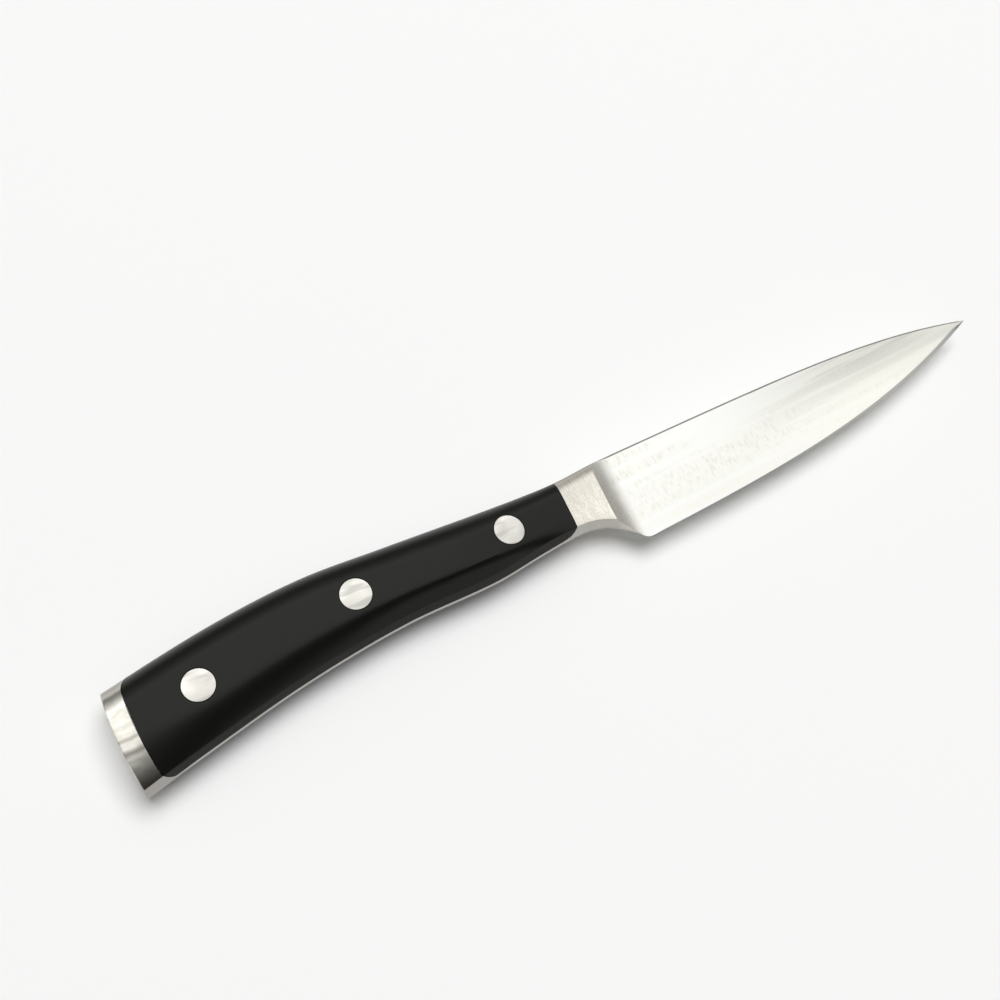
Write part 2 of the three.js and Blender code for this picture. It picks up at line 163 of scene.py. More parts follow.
# Fineness of the meshes
UNDER_ROWS = 5
CREASE_ROWS = 6
SIDE_ROWS = 46
LAST_ROW = UNDER_ROWS + CREASE_ROWS + SIDE_ROWS
SIDE_CROWDING = 1.8  # how much closer the rows lie towards the spine
RIM_STEPS = 4  # round the rim of the butt end or of a rivet head
HANDLE_COLUMNS = 170
FILLET_COLUMNS = 14
BLADE_COLUMNS = 150
HEEL_CROWDING = 1.25  # how much closer the columns lie towards the heel
CORNER_STEPS = 16
JOINT_STEPS = 24
RIVET_SIDES = 96
HALVINGS = 40  # in the search for the bolster's front edge
BUTT_TRIES = 4  # in the search for the end of a row on the butt's arc
SPINE_SAMPLES = 2000  # in the search for the highest point of the spine
CLEAR = 0.03  # any distance well clear of the knife
LEAST_COLUMN = 0.00004
LEAST_HEIGHT = 1e-9  # of the blade at its very tip
SHARP_ANGLE = math.radians(27)


def lerp(a, b, t):
    return a + (b - a) * t


def smooth_line(points, start_slope, end_slope):
    """A smooth height along X through a few points, with given slopes at its two ends."""
    xs, ys = np.array(points, float).T
    slopes = np.empty(len(xs))
    slopes[1:-1] = (ys[2:] - ys[:-2]) / (xs[2:] - xs[:-2])
    slopes[0] = start_slope
    slopes[-1] = end_slope

    def height(x):
        x = np.asarray(x, float)
        i = np.clip(np.searchsorted(xs, x) - 1, 0, len(xs) - 2)
        width = xs[i + 1] - xs[i]
        t = (np.clip(x, xs[0], xs[-1]) - xs[i]) / width
        rise = t * t * (3 - 2 * t)
        leave = t * (1 - t) ** 2
        arrive = t * t * (t - 1)
        inside = ys[i] + (ys[i + 1] - ys[i]) * rise + width * (slopes[i] * leave + slopes[i + 1] * arrive)
        return inside + slopes[0] * np.minimum(x - xs[0], 0) + slopes[-1] * np.maximum(x - xs[-1], 0)

    return height


handle_spine = smooth_line(
    [(share * BOLSTER_JOINT, y) for share, y in SPINE_LINE] + [(BLADE_START, BLADE_SPINE)],
    SPINE_START_SLOPE,
    -SPINE_FALL / BLADE_LENGTH,
)
handle_belly = smooth_line(
    [(share * BOLSTER_JOINT, y) for share, y in BELLY_LINE], BELLY_START_SLOPE, 0
)

# The choil is one arc, level where it leaves the handle, down to the heel.
CHOIL_START = BOLSTER_JOINT + CHOIL_RUN_IN
CHOIL_TOP = float(handle_belly(CHOIL_START))
CHOIL_DROP = CHOIL_TOP - HEEL_HEIGHT
CHOIL_RADIUS = ((HEEL - CHOIL_START) ** 2 + CHOIL_DROP**2) / (2 * CHOIL_DROP)
CHOIL_ANGLE = math.asin((HEEL - CHOIL_START) / CHOIL_RADIUS)
HEEL_CUT = HEEL_RADIUS * math.tan(CHOIL_ANGLE / 2)


def spine_height(x):
    t = np.clip((x - BLADE_START) / (TIP - BLADE_START), 0, 1)
    curved = BLADE_SPINE - SPINE_FALL - HEEL_HEIGHT - TIP_HEIGHT
    blade = BLADE_SPINE - SPINE_FALL * t - curved * t**SPINE_DROP_POWER
    return np.where(x < BLADE_START, handle_spine(x), blade)


def belly_height(x):
    run = np.clip(x - CHOIL_START, 0, HEEL - CHOIL_START)
    choil = CHOIL_TOP - CHOIL_RADIUS + np.sqrt(CHOIL_RADIUS**2 - run**2)
    return np.where(x < CHOIL_START, handle_belly(x), choil)


def along_blade(x):
    """Share of the way from heel to tip."""
    return np.clip((x - HEEL) / BLADE_LENGTH, 0, 1)


def edge_height(x):
    return HEEL_HEIGHT + TIP_HEIGHT * along_blade(x) ** EDGE_RISE_POWER


def low_height(x):
    """The lower outline of the whole knife: belly, choil, rounded heel and edge."""
    start = HEEL - HEEL_CUT * math.cos(CHOIL_ANGLE)
    end = HEEL + HEEL_CUT
    # The heel's corner is a Bezier curve from start to end, and t is where it passes X.
    bend = start - 2 * HEEL + end
    run = np.clip(x - start, 0, end - start)
    t = 2 * run / (2 * (HEEL - start) + np.sqrt(4 * (HEEL - start) ** 2 + 4 * bend * run))
    corner = (1 - t) ** 2 * belly_height(start) + 2 * t * (1 - t) * HEEL_HEIGHT + t * t * edge_height(end)
    return np.where(x < start, belly_height(x), np.where(x > end, edge_height(x), corner))


def taper(x):
    """How far the handle has thinned down to the bolster's front, from 0 to 1."""
    t = np.clip((x - BOLSTER_FRONT + TAPER_LENGTH) / TAPER_LENGTH, 0, 1)
    return t * t * (3 - 2 * t)


def handle_half(x):
    return lerp(HANDLE_THICKNESS, BOLSTER_THICKNESS, taper(x)) / 2


def middle_height(x):
    return (spine_height(x) + belly_height(x)) / 2


def handle_crease(x):
    """Half width of the belly, which is where the crease between belly and side lies."""
    along = np.minimum(taper(x) / taper(BOLSTER_JOINT), 1)
    return handle_half(x) * lerp(HANDLE_CREASE_SHARE, BOLSTER_CREASE_SHARE, along)


def crease_radius(x):
    return lerp(HANDLE_CREASE_RADIUS, BOLSTER_CREASE_RADIUS, taper(x))


def handle_side(x, y):
    """Half thickness of the handle and bolster at a height: crown, flat land and rounded shoulder."""
    spine = spine_height(x)
    belly = belly_height(x)
    half = handle_half(x)
    crease = handle_crease(x)
    land_low = np.maximum((spine + belly) / 2 - RIVET_HEAD / 2 - LAND_MARGIN, LAND_FLOOR)
    land_high = spine - lerp(HANDLE_SHOULDER, BOLSTER_SHOULDER, taper(x))
    crease_height = belly + crease * math.tan(BELLY_LEAN)
    down = np.clip((land_low - y) / (land_low - crease_height), 0, 1)
    up = np.clip((y - land_high) / (spine - land_high), 0, 1)
    crown = half - (half - crease) * down**CROWN_POWER
    shoulder = half * (1 - up**SHOULDER_POWER) ** (1 / SHOULDER_POWER)
    return np.where(up > 0, shoulder, crown)


def slanted(x, y):
    """X less the slant, so that it is the same all along the bolster's front."""
    return x - math.tan(BOLSTER_SLANT) * y


def fillet_side(x, y):
    """Half thickness left by the bolster's front fillet, which runs out level with the blade."""
    run = np.clip((FILLET_END - slanted(x, y)) / FILLET_LENGTH, 0, 1)
    return np.where(run < 1, lerp(blade_side(x, y), BOLSTER_THICKNESS / 2, run**2), CLEAR)


def blade_height(x):
    return np.maximum(spine_height(x) - edge_height(x), LEAST_HEIGHT)


def spine_half(x):
    return lerp(SPINE_THICKNESS, TIP_THICKNESS, along_blade(x)) / 2


def bevel_width(x):
    return lerp(HEEL_BEVEL, TIP_BEVEL, along_blade(x) ** BEVEL_POWER)


def spine_easing(x, y):
    """How far the eased corner of the blade's spine lies below its face at a height."""
    size, depth = SPINE_EASING
    size_limit, depth_limit = SPINE_EASING_LIMIT
    size = np.minimum(size, blade_height(x) * size_limit)
    over = np.clip((y - spine_height(x)) / size + 1, 0, 1)
    return over * np.minimum(depth, spine_half(x) * depth_limit)


def blade_side(x, y):
    """Half thickness of the blade: flat faces and an eased spine. It goes on level behind the heel."""
    up = np.clip((y - edge_height(x)) / blade_height(x), 0, 1)
    edge_half = np.minimum(bevel_width(x) * math.tan(BEVEL_ANGLE), spine_half(x))
    return lerp(edge_half, spine_half(x), up) - spine_easing(x, y)


def side(x, y):
    """Half thickness of the whole knife at a height."""
    bolster = np.minimum(handle_side(x, y), fillet_side(x, y))
    return np.where(slanted(x, y) < FILLET_END, bolster, blade_side(x, y))


def knife_section(x, row):
    """Height and half thickness of one row of the skin at X.

    The rows run from the middle of the belly over the crease and up the side to the spine.
    """
    low = low_height(x)
    spine = spine_height(x)
    wide = handle_crease(x)
    crease = np.minimum(wide, fillet_side(x, low + wide * math.tan(BELLY_LEAN)))
    on_edge = np.clip((x - HEEL) / HEEL_RADIUS, 0, 1)
    bevel = np.minimum(bevel_width(x), (spine - low) * BEVEL_LIMIT)
    crease_height = low + lerp(crease * math.tan(BELLY_LEAN), bevel, on_edge)
    crease = lerp(crease, side(x, crease_height), on_edge)
    radius = np.minimum(crease_radius(x), CREASE_LIMIT * crease)
    radius = np.minimum(radius, (spine - low) * CREASE_HEIGHT_LIMIT)
    slope = np.hypot(crease, crease_height - low)
    leave_y = crease_height + radius * (low - crease_height) / slope
    leave_z = crease - radius * crease / slope
    arrive_y = crease_height + CREASE_REACH * radius
    arrive_z = side(x, arrive_y)
    if row < UNDER_ROWS:
        t = row / UNDER_ROWS
        return lerp(low, leave_y, t), lerp(0, leave_z, t)
    if row < UNDER_ROWS + CREASE_ROWS:
        t = (row - UNDER_ROWS) / CREASE_ROWS
        a, b, c = (1 - t) ** 2, 2 * t * (1 - t), t * t
        return a * leave_y + b * crease_height + c * arrive_y, a * leave_z + b * crease + c * arrive_z
    t = 1 - (1 - (row - UNDER_ROWS - CREASE_ROWS) / SIDE_ROWS) ** SIDE_CROWDING
    y = lerp(arrive_y, spine, t)
    z = side(x, y)
    return y, np.where(row == LAST_ROW, 0, z)


def butt_end(y):
    """X of the butt end at a height."""
    return BUTT_RADIUS - math.sqrt(BUTT_RADIUS**2 - (y - BUTT_ARC_HEIGHT) ** 2)


def fillet_reach(row):
    """X along a row where the fillet cuts into the bolster's side, and X just before the fillet's end."""
    shear = math.tan(BOLSTER_SLANT)
    share = max(row - UNDER_ROWS - CREASE_ROWS, 0) / SIDE_ROWS

    def height(x):
        low = low_height(x) + handle_crease(x) * math.tan(BELLY_LEAN) + CREASE_REACH * crease_radius(x)
        return float(lerp(low, spine_height(x), 1 - (1 - share) ** SIDE_CROWDING))

    low = BOLSTER_FRONT + shear * height(BOLSTER_FRONT)
    high = FILLET_END + shear * height(FILLET_END) - LEAST_COLUMN
    end = high
    for _ in range(HALVINGS):
        x = (low + high) / 2
        if fillet_side(x, height(x)) > handle_side(x, height(x)):
            low = x
        else:
            high = x
    return high, end


def skin():
    """The upper half of the knife's skin, as if it were one solid: rows of points from butt to tip."""
    upper = []
    blade_share = np.linspace(0, 1, BLADE_COLUMNS + 1)[1:] ** HEEL_CROWDING
    for row in range(LAST_ROW + 1):
        start, end = fillet_reach(row)
        butt = 0.0
        for _ in range(BUTT_TRIES):
            butt = butt_end(float(knife_section(butt, row)[0]))
        x = [lerp(butt + BUTT_RIM, start, i / HANDLE_COLUMNS) for i in range(HANDLE_COLUMNS + 1)]
        for i in range(1, FILLET_COLUMNS + 1):
            x.append(lerp(start, end, i / FILLET_COLUMNS))
        x.extend(lerp(end, TIP, blade_share[:-1]))
        x = np.array(x)
        y, z = knife_section(x, row)
        upper.append(np.stack([x, y, z], axis=-1))
    return np.array(upper)


def mesh_object(name, points, faces):
    mesh = bpy.data.meshes.new(name)
    mesh.from_pydata([tuple(p) for p in points], [], faces)
    mesh.validate()
    made = bpy.data.objects.new(name, mesh)
    bpy.context.scene.collection.objects.link(made)
    return made


def knife_form():
    """The whole skin as one closed mesh, with a rounded rim and a curved face at the butt."""
    upper = skin()
    mirror = np.array([1, 1, -1])
    ring = np.concatenate([upper, upper[-2:0:-1] * mirror])
    along = np.roll(ring[:, 0], -1, axis=0) - np.roll(ring[:, 0], 1, axis=0)
    inward = np.stack([-along[:, 2], along[:, 1]], axis=-1)
    inward /= np.linalg.norm(inward, axis=1, keepdims=True)
    if np.sum(inward * ring[:, 0, 1:]) > 0:
        inward = -inward
    rims = []
    for i in range(RIM_STEPS):
        angle = i / RIM_STEPS * math.pi / 2
        rim = ring[:, 0].copy()
        rim[:, 1:] += inward * BUTT_RIM * (1 - math.sin(angle))
        rim[:, 0] = [butt_end(y) for y in rim[:, 1]]
        rim[:, 0] += BUTT_RIM * (1 - math.cos(angle))
        rims.append(rim)
    grid = np.concatenate([np.stack(rims, axis=1), ring], axis=1)
    rows, columns = grid.shape[:2]
    points = grid.reshape(-1, 3).tolist()
    tip = len(points)
    points.append([TIP, float(edge_height(TIP)), 0])
    faces = []
    for r in range(rows):
        n = (r + 1) % rows
        for c in range(columns - 1):
            faces.append((r * columns + c, n * columns + c, n * columns + c + 1, r * columns + c + 1))
        faces.append((r * columns + columns - 1, n * columns + columns - 1, tip))
    for r in range(LAST_ROW):
        corners = [r, r + 1, (rows - r - 1) % rows, (rows - r) % rows]
        faces.append([i * columns for i in dict.fromkeys(reversed(corners))])
    return mesh_object("knife_form", points, faces)


def rear_joint(y):
    """X of the joint between butt cap and scales at a height."""
    return BUTT_JOINT + JOINT_RADIUS - math.sqrt(JOINT_RADIUS**2 - (y - JOINT_ARC_HEIGHT) ** 2)


def front_joint(y):
    """X of the joint between scales and bolster at a height."""
    return BOLSTER_JOINT + math.tan(BOLSTER_SLANT) * y


def scale_outline(gap):
    """The side view of a scale, open past spine and belly, drawn in by a gap all round its ends."""

    def corner(joint, inward, line, upward, size):
        """An elliptical corner from an end of the scale to its spine or belly."""
        length, height = size
        points = []
        for i in range(CORNER_STEPS + 1):
            angle = i / CORNER_STEPS * math.pi / 2
            over = inward * (gap + (length - gap) * (1 - math.cos(angle)))
            rise = upward * ((height - gap) * math.sin(angle) - height)
            x = joint(float(line(joint(0) + over)) + rise) + over
            points.append((x, float(line(x)) + rise))
        return points

    top = corner(rear_joint, 1, spine_height, 1, BUTT_SPINE_CORNER)
    low = corner(rear_joint, 1, belly_height, -1, BUTT_BELLY_CORNER)
    front = corner(front_joint, -1, belly_height, -1, FRONT_BELLY_CORNER)
    outline = [(top[-1][0], CLEAR), *reversed(top)]
    for i in range(1, JOINT_STEPS):
        y = lerp(top[0][1], low[0][1], i / JOINT_STEPS)
        outline.append((rear_joint(y) + gap, y))
    outline += [*low, (low[-1][0], -CLEAR), (front[-1][0], -CLEAR), *reversed(front)]
    outline.append((front_joint(CLEAR) - gap, CLEAR))
    return outline


def prism(outline, low, high):
    """A side-view outline as a closed solid between two heights of Z."""
    count = len(outline)
    points = [(x, y, z) for z in (low, high) for x, y in outline]
    faces = [tuple(reversed(range(count))), tuple(range(count, 2 * count))]
    for i in range(count):
        n = (i + 1) % count
        faces.append((i, n, count + n, count + i))
    return mesh_object("prism", points, faces)


def bar(x, y, diameter, low, high):
    """A round bar along Z."""
    circle = [
        (x + diameter / 2 * math.cos(a), y + diameter / 2 * math.sin(a))
        for a in (2 * math.pi * i / RIVET_SIDES for i in range(RIVET_SIDES))
    ]
    return prism(circle, low, high)


def carve(body, operation, *tools):
    """Cuts a mesh by others, or keeps what they share. The others are then removed."""
    for tool in tools:
        modifier = body.modifiers.new("carve", "BOOLEAN")
        modifier.operation = operation
        modifier.solver = "MANIFOLD"
        modifier.object = tool
    evaluated = body.evaluated_get(bpy.context.evaluated_depsgraph_get())
    carved = bpy.data.meshes.new_from_object(evaluated)
    body.modifiers.clear()
    body.data = carved
    for tool in tools:
        bpy.data.objects.remove(tool)
    return body


def copy_of(source, name):
    made = bpy.data.objects.new(name, source.data.copy())
    bpy.context.scene.collection.objects.link(made)
    return made


def turned(name, rivet, profile, below):
    """A turned piece along Z, from the radius, height and sink of each of its rings.

    A height of None is that of the handle's surface, less the sink. Below, the piece is upside down.
    """
    sign = -1 if below else 1
    points = []
    faces = []
    for radius, z, sunk in profile:
        for i in range(RIVET_SIDES if radius else 1):
            a = 2 * math.pi * i / RIVET_SIDES
            x = rivet["x"] + radius * math.cos(a)
            top = float(handle_half(x)) - sunk if z is None else z
            points.append((x, rivet["y"] + radius * math.sin(a), sign * top))
    start = 0
    for (radius, _, _), (next_radius, _, _) in zip(profile, profile[1:]):
        step = RIVET_SIDES if radius else 1
        for i in range(RIVET_SIDES):
            n = (i + 1) % RIVET_SIDES
            if not radius:
                faces.append((start, start + 1 + i, start + 1 + n))
            elif not next_radius:
                faces.append((start + i, start + step, start + n))
            else:
                faces.append((start + i, start + step + i, start + step + n, start + n))
        start += step
    if below:
        faces = [tuple(reversed(f)) for f in faces]
    return mesh_object(name, points, faces)


def head_profile():
    """The face and rounded rim of a rivet head, ground level with the handle."""
    radius = RIVET_HEAD / 2
    profile = [(0, None, 0), (radius / 2, None, 0), (radius - RIVET_RIM, None, 0)]
    for i in range(1, RIM_STEPS + 1):
        angle = i / RIM_STEPS * math.pi / 2
        run = RIVET_RIM * math.sin(angle)
        profile.append((radius - RIVET_RIM + run, None, RIVET_RIM * (1 - math.cos(angle))))
    return profile


def finish_mesh(body, shift):
    """Moves a mesh to the frame and shades it smooth up to its real edges."""
    body.data.transform(Matrix.Translation(shift))
    body.data.shade_smooth()
    body.data.set_sharp_from_angle(angle=SHARP_ANGLE)


# Pieces
def rivet_at(name, x):
    """A rivet's name, its place in side view and the height of its heads' seats."""
    seat = float(handle_half(x)) - RIVET_HEAD_THICKNESS
    return {"name": name, "x": x, "y": float(middle_height(x)), "seat": seat}


def forged_blade(form, rivets):
    """The whole form, with a pocket for a scale on each side of the tang and holes for the rivets."""
    forging = copy_of(form, "forging")
    pockets = [
        prism(scale_outline(0), TANG_THICKNESS / 2, CLEAR),
        prism(scale_outline(0), -CLEAR, -TANG_THICKNESS / 2),
    ]
    holes = [bar(r["x"], r["y"], RIVET_HOLE, -CLEAR, CLEAR) for r in rivets]
    return carve(forging, "DIFFERENCE", *pockets, *holes)


def handle_scale(form, name, sign, rivets):
    """The form on one side of the tang, above for a sign of 1, with a hole and a recess for each rivet."""
    scale = copy_of(form, name)
    low, high = sorted((sign * TANG_THICKNESS / 2, sign * CLEAR))
    carve(scale, "INTERSECT", prism(scale_outline(JOINT_GAP), low, high))
    for rivet in rivets:
        low, high = sorted((sign * rivet["seat"], sign * CLEAR))
        hole = bar(rivet["x"], rivet["y"], RIVET_HOLE, -CLEAR, CLEAR)
        recess = bar(rivet["x"], rivet["y"], RIVET_RECESS, low, high)
        carve(scale, "DIFFERENCE", hole, recess)
    return scale


def rivet_tube(rivet):
    """The upper half of a rivet: a head with a tube that is open below."""
    seat = rivet["seat"]
    end = RIVET_END_GAP - seat
    bore = RIVET_PIN / 2 + RIVET_GAP
    shank = [
        (RIVET_HEAD / 2, seat, 0),
        (RIVET_TUBE / 2, seat, 0),
        (RIVET_TUBE / 2, end, 0),
        (bore, end, 0),
        (bore, seat, 0),
        (0, seat, 0),
    ]
    return turned(f"rivet_tube_{rivet['name']}", rivet, head_profile() + shank, below=False)


def rivet_pin(rivet):
    """The lower half of a rivet: a head with a pin that goes up into the tube."""
    seat = rivet["seat"]
    end = RIVET_END_GAP - seat
    shank = [
        (RIVET_HEAD / 2, seat, 0),
        (RIVET_PIN / 2, seat, 0),
        (RIVET_PIN / 2, end, 0),
        (0, end, 0),
    ]
    return turned(f"rivet_pin_{rivet['name']}", rivet, head_profile() + shank, below=True)


rear_x = BUTT_JOINT + REAR_RIVET_SETBACK
front_x = BOLSTER_JOINT - FRONT_RIVET_SETBACK
rivets = [rivet_at("rear", rear_x), rivet_at("middle", (rear_x + front_x) / 2), rivet_at("front", front_x)]

form = knife_form()
pieces = [
    (handle_scale(form, "scale_upper", 1, rivets), "upper_scale", "black_scale"),
    (handle_scale(form, "scale_lower", -1, rivets), "lower_scale", "black_scale"),
    (forged_blade(form, rivets), "forged_blade", "blade_steel"),
]
bpy.data.objects.remove(form)
for rivet in rivets:
    pieces.append((rivet_tube(rivet), f"{rivet['name']}_rivet_tube", "rivet_steel"))
    pieces.append((rivet_pin(rivet), f"{rivet['name']}_rivet_pin", "rivet_steel"))

highest_spine = float(np.max(handle_spine(np.linspace(0, BOLSTER_JOINT, SPINE_SAMPLES))))
shift = Vector((cad_low.x, cad_high.y - highest_spine, (cad_low.z + cad_high.z) / 2))
for body, cad_node, slot in pieces:
    finish_mesh(body, shift)
    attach(body, "root")
    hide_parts(cad_node)

# Sockets of the Mix node that have no name of their own
MIX_VALUES = (2, 3)
MIX_COLOURS = (6, 7)
MIXED_COLOUR = 2


def new_material(name):
    material = bpy.data.materials.new(name)
    material.use_nodes = True
    tree = material.node_tree
    return material, tree, tree.nodes["Principled BSDF"]


def node(tree, kind, inputs, output=0, **settings):
    """Adds a node with its settings, and a value or a link for each input. Gives back one output."""
    made = tree.nodes.new("ShaderNode" + kind)
    for name, value in settings.items():
        setattr(made, name, value)
    for name, value in inputs.items():
        if isinstance(value, bpy.types.NodeSocket):
            tree.links.new(value, made.inputs[name])
        else:
            made.inputs[name].default_value = value
    return made.outputs[output]


def fade(tree, value, start, end, low, high):
    """A smooth change from low to high while a value goes from start to end."""
    inputs = {"Value": value, "From Min": start, "From Max": end, "To Min": low, "To Max": high}
    return node(tree, "MapRange", inputs, interpolation_type="SMOOTHSTEP")


def times(tree, a, b):
    return node(tree, "Math", {0: a, 1: b}, operation="MULTIPLY")


def plus(tree, a, b):
    return node(tree, "Math", {0: a, 1: b}, operation="ADD")


def larger(tree, a, b):
    return node(tree, "Math", {0: a, 1: b}, operation="MAXIMUM")


def mix(tree, share, a, b):
    """A blend of two colours, each a socket or red, green and blue."""
    colours = [c if isinstance(c, bpy.types.NodeSocket) else (*c, 1) for c in (a, b)]
    inputs = {0: share, **dict(zip(MIX_COLOURS, colours))}
    return node(tree, "Mix", inputs, output=MIXED_COLOUR, data_type="RGBA")


def mix_values(tree, share, a, b):
    return node(tree, "Mix", {0: share, **dict(zip(MIX_VALUES, (a, b)))})


def axis(tree, vector, name):
    """X, Y or Z of a vector."""
    return node(tree, "SeparateXYZ", {0: vector}, output=name)


def knife_place(tree):
    """The knife's own coordinates, in metres."""
    place = node(tree, "TexCoord", {}, output="Object")
    return node(tree, "VectorMath", {0: place, 1: shift}, operation="SUBTRACT")


def facing(tree):
    """The direction in which the surface faces."""
    return node(tree, "TexCoord", {}, output="Normal")


def grain(tree, place, lengths, detail=2.0):
    """Noise from 0 to 1 with a given length along X, Y and Z."""
    stretched = node(tree, "VectorMath", {0: place, 1: lengths}, operation="DIVIDE")
    return node(tree, "TexNoise", {"Vector": stretched, "Scale": 1.0, "Detail": detail})


def bump(tree, shader, height, strength, depth):
    bumped = node(tree, "Bump", {"Height": height, "Strength": strength, "Distance": depth})
    tree.links.new(bumped, shader.inputs["Normal"])


# Blade: satin steel in faint bands along it, with rows of short grinding dashes across them; painted light
# and painted shade towards the tip, and painted shade on the spine's corners and on the bevel
BAND_LENGTHS = (0.05, 0.0022, 0.0022)
BAND_RANGE = (0.40, 0.60)  # of the noise, over which one band goes over into the next
DASH_LENGTHS = (0.0005, 0.0016, 0.0016)
DASH_RANGE = (0.46, 0.70)
DASH_DEPTHS = (0.9, 0.2)  # at the heel and at the tip
DASH_HEIGHTS = (-0.009, -0.003)  # over which the dashes fade out towards the edge
DASH_LEAST = 0.2  # share of them that is left there
TIP_REACH = (lerp(HEEL, TIP, 0.2), lerp(HEEL, TIP, 0.75))  # along which the tip's painted light and painted shade set in
TIP_SHADE_HEIGHTS = (-0.006, 0.005)  # over which the tip takes painted shade towards the spine
TIP_SHADE_LEAST = 0.6  # share of that painted shade between the bands
BLADE_COOL = (0.88, 0.88, 0.855)
BLADE_WARM = (0.87, 0.865, 0.81)
# The tip is painted lighter towards the edge (painted light) and greyer towards the spine (painted shade)
TIP_PAINTED_LIGHT = (0.95, 0.935, 0.86)
TIP_PAINTED_SHADE = (0.55, 0.555, 0.51)
DASH_GREY = (0.74, 0.735, 0.67)
# Painted shade where the blade's eased spine corners face the spine
SPINE_CORNER_FACING = (0.25, 0.5)  # how far a surface faces the spine, from -1 to 1
SPINE_CORNER_SHARE = 0.8
SPINE_CORNER_PAINTED_SHADE = (0.40, 0.40, 0.375)
# Painted shade on the sharpened bevel, darkest at the heel
BEVEL_FACING = (-0.27, -0.16)
HEEL_BEVEL_PAINTED_SHADE = (0.34, 0.335, 0.315)
TIP_BEVEL_PAINTED_SHADE = (0.60, 0.595, 0.56)


def blade_colour(tree, place, to_spine):
    x = axis(tree, place, "X")
    y = axis(tree, place, "Y")
    toward_tip = fade(tree, x, *TIP_REACH, 0, 1)
    bands = fade(tree, grain(tree, place, BAND_LENGTHS), *BAND_RANGE, 0, 1)
    dashes = fade(tree, grain(tree, place, DASH_LENGTHS), *DASH_RANGE, 0, 1)
    dashes = times(tree, times(tree, dashes, bands), fade(tree, x, HEEL, TIP, *DASH_DEPTHS))
    dashes = times(tree, dashes, fade(tree, y, *DASH_HEIGHTS, DASH_LEAST, 1))
    # painted shade towards the tip's spine, over painted light towards its edge
    tip_shade = times(tree, fade(tree, y, *TIP_SHADE_HEIGHTS, 0, 1), fade(tree, bands, 0, 1, TIP_SHADE_LEAST, 1))
    colour = mix(tree, bands, BLADE_COOL, BLADE_WARM)
    colour = mix(tree, toward_tip, colour, mix(tree, tip_shade, TIP_PAINTED_LIGHT, TIP_PAINTED_SHADE))
    colour = mix(tree, dashes, colour, DASH_GREY)
    # painted shade on the spine's corners
    spine_corner = fade(tree, to_spine, *SPINE_CORNER_FACING, 0, SPINE_CORNER_SHARE)
    colour = mix(tree, spine_corner, colour, SPINE_CORNER_PAINTED_SHADE)
    # painted shade on the bevel
    bevel = fade(tree, to_spine, *BEVEL_FACING, 1, 0)
    return mix(tree, bevel, colour, mix(tree, toward_tip, HEEL_BEVEL_PAINTED_SHADE, TIP_BEVEL_PAINTED_SHADE))


# Bolster: creamy brushed steel with painted sparkle (painted glints), and painted shade towards the spine
SPECKLE_LENGTHS = (0.0003, 0.0005, 0.0005)
SPARKLE_RANGE = (0.12, 0.42)
BOLSTER_DULL = (0.72, 0.68, 0.595)
BOLSTER_PAINTED_GLINT = (0.94, 0.91, 0.825)
# Painted shade towards the bolster's spine
BOLSTER_PAINTED_SHADE = (0.62, 0.59, 0.525)
BOLSTER_SHADE_HEIGHTS = (-0.001, 0.005)
BOLSTER_SHADE_SHARE = 0.4


def bolster_colour(tree, place, brushed):
    speckle = grain(tree, place, SPECKLE_LENGTHS)
    # painted glints: bright specks put into the colour
    sparkle = fade(tree, times(tree, brushed, speckle), *SPARKLE_RANGE, 0, 1)
    colour = mix(tree, sparkle, BOLSTER_DULL, BOLSTER_PAINTED_GLINT)
    # painted shade towards the spine
    shade = fade(tree, axis(tree, place, "Y"), *BOLSTER_SHADE_HEIGHTS, 0, BOLSTER_SHADE_SHARE)
    return mix(tree, shade, colour, BOLSTER_PAINTED_SHADE)


# Butt cap: polished steel, mottled, with painted shade towards the belly and painted reflections as grey
# streaks
MOTTLE_LENGTHS = (0.003, 0.0012, 0.006)
MOTTLE_RANGE = (0.35, 0.65)
CAP_DULL = (0.64, 0.62, 0.555)
CAP_BRIGHT = (0.78, 0.76, 0.695)
# Painted shade towards the cap's belly
CAP_PAINTED_SHADE = (0.16, 0.13, 0.11)
CAP_SHADE_HEIGHTS = (-0.0100, -0.0053)
CAP_SHADE_SHARE = 0.88
# Painted reflections: grey streaks across the polished cap
CAP_REFLECTION_STREAKS = [(-0.0038, 0.0009, 0.9), (-0.0015, 0.0007, 0.7)]  # height, half width and depth of each
STREAK_PAINTED_REFLECTION = (0.30, 0.275, 0.245)
WANDER_LENGTHS = (0.004, 0.006, 0.006)


def streak(tree, place, height, half_width, depth):
    """A soft streak of painted reflection along the knife at a height, which wanders a little."""
    wander = times(tree, grain(tree, place, WANDER_LENGTHS), half_width)
    wandered = plus(tree, axis(tree, place, "Y"), wander)
    middle = height + half_width / 2
    rise = fade(tree, wandered, middle - half_width, middle, 0, 1)
    return times(tree, rise, fade(tree, wandered, middle, middle + half_width, depth, 0))


def cap_colour(tree, place):
    mottle = fade(tree, grain(tree, place, MOTTLE_LENGTHS), *MOTTLE_RANGE, 0, 1)
    colour = mix(tree, mottle, CAP_DULL, CAP_BRIGHT)
    # painted shade towards the belly
    belly_shade = fade(tree, axis(tree, place, "Y"), *CAP_SHADE_HEIGHTS, CAP_SHADE_SHARE, 0)
    colour = mix(tree, belly_shade, colour, CAP_PAINTED_SHADE)
    # painted reflections as grey streaks
    for height, half_width, depth in CAP_REFLECTION_STREAKS:
        colour = mix(tree, streak(tree, place, height, half_width, depth), colour, STREAK_PAINTED_REFLECTION)
    return colour


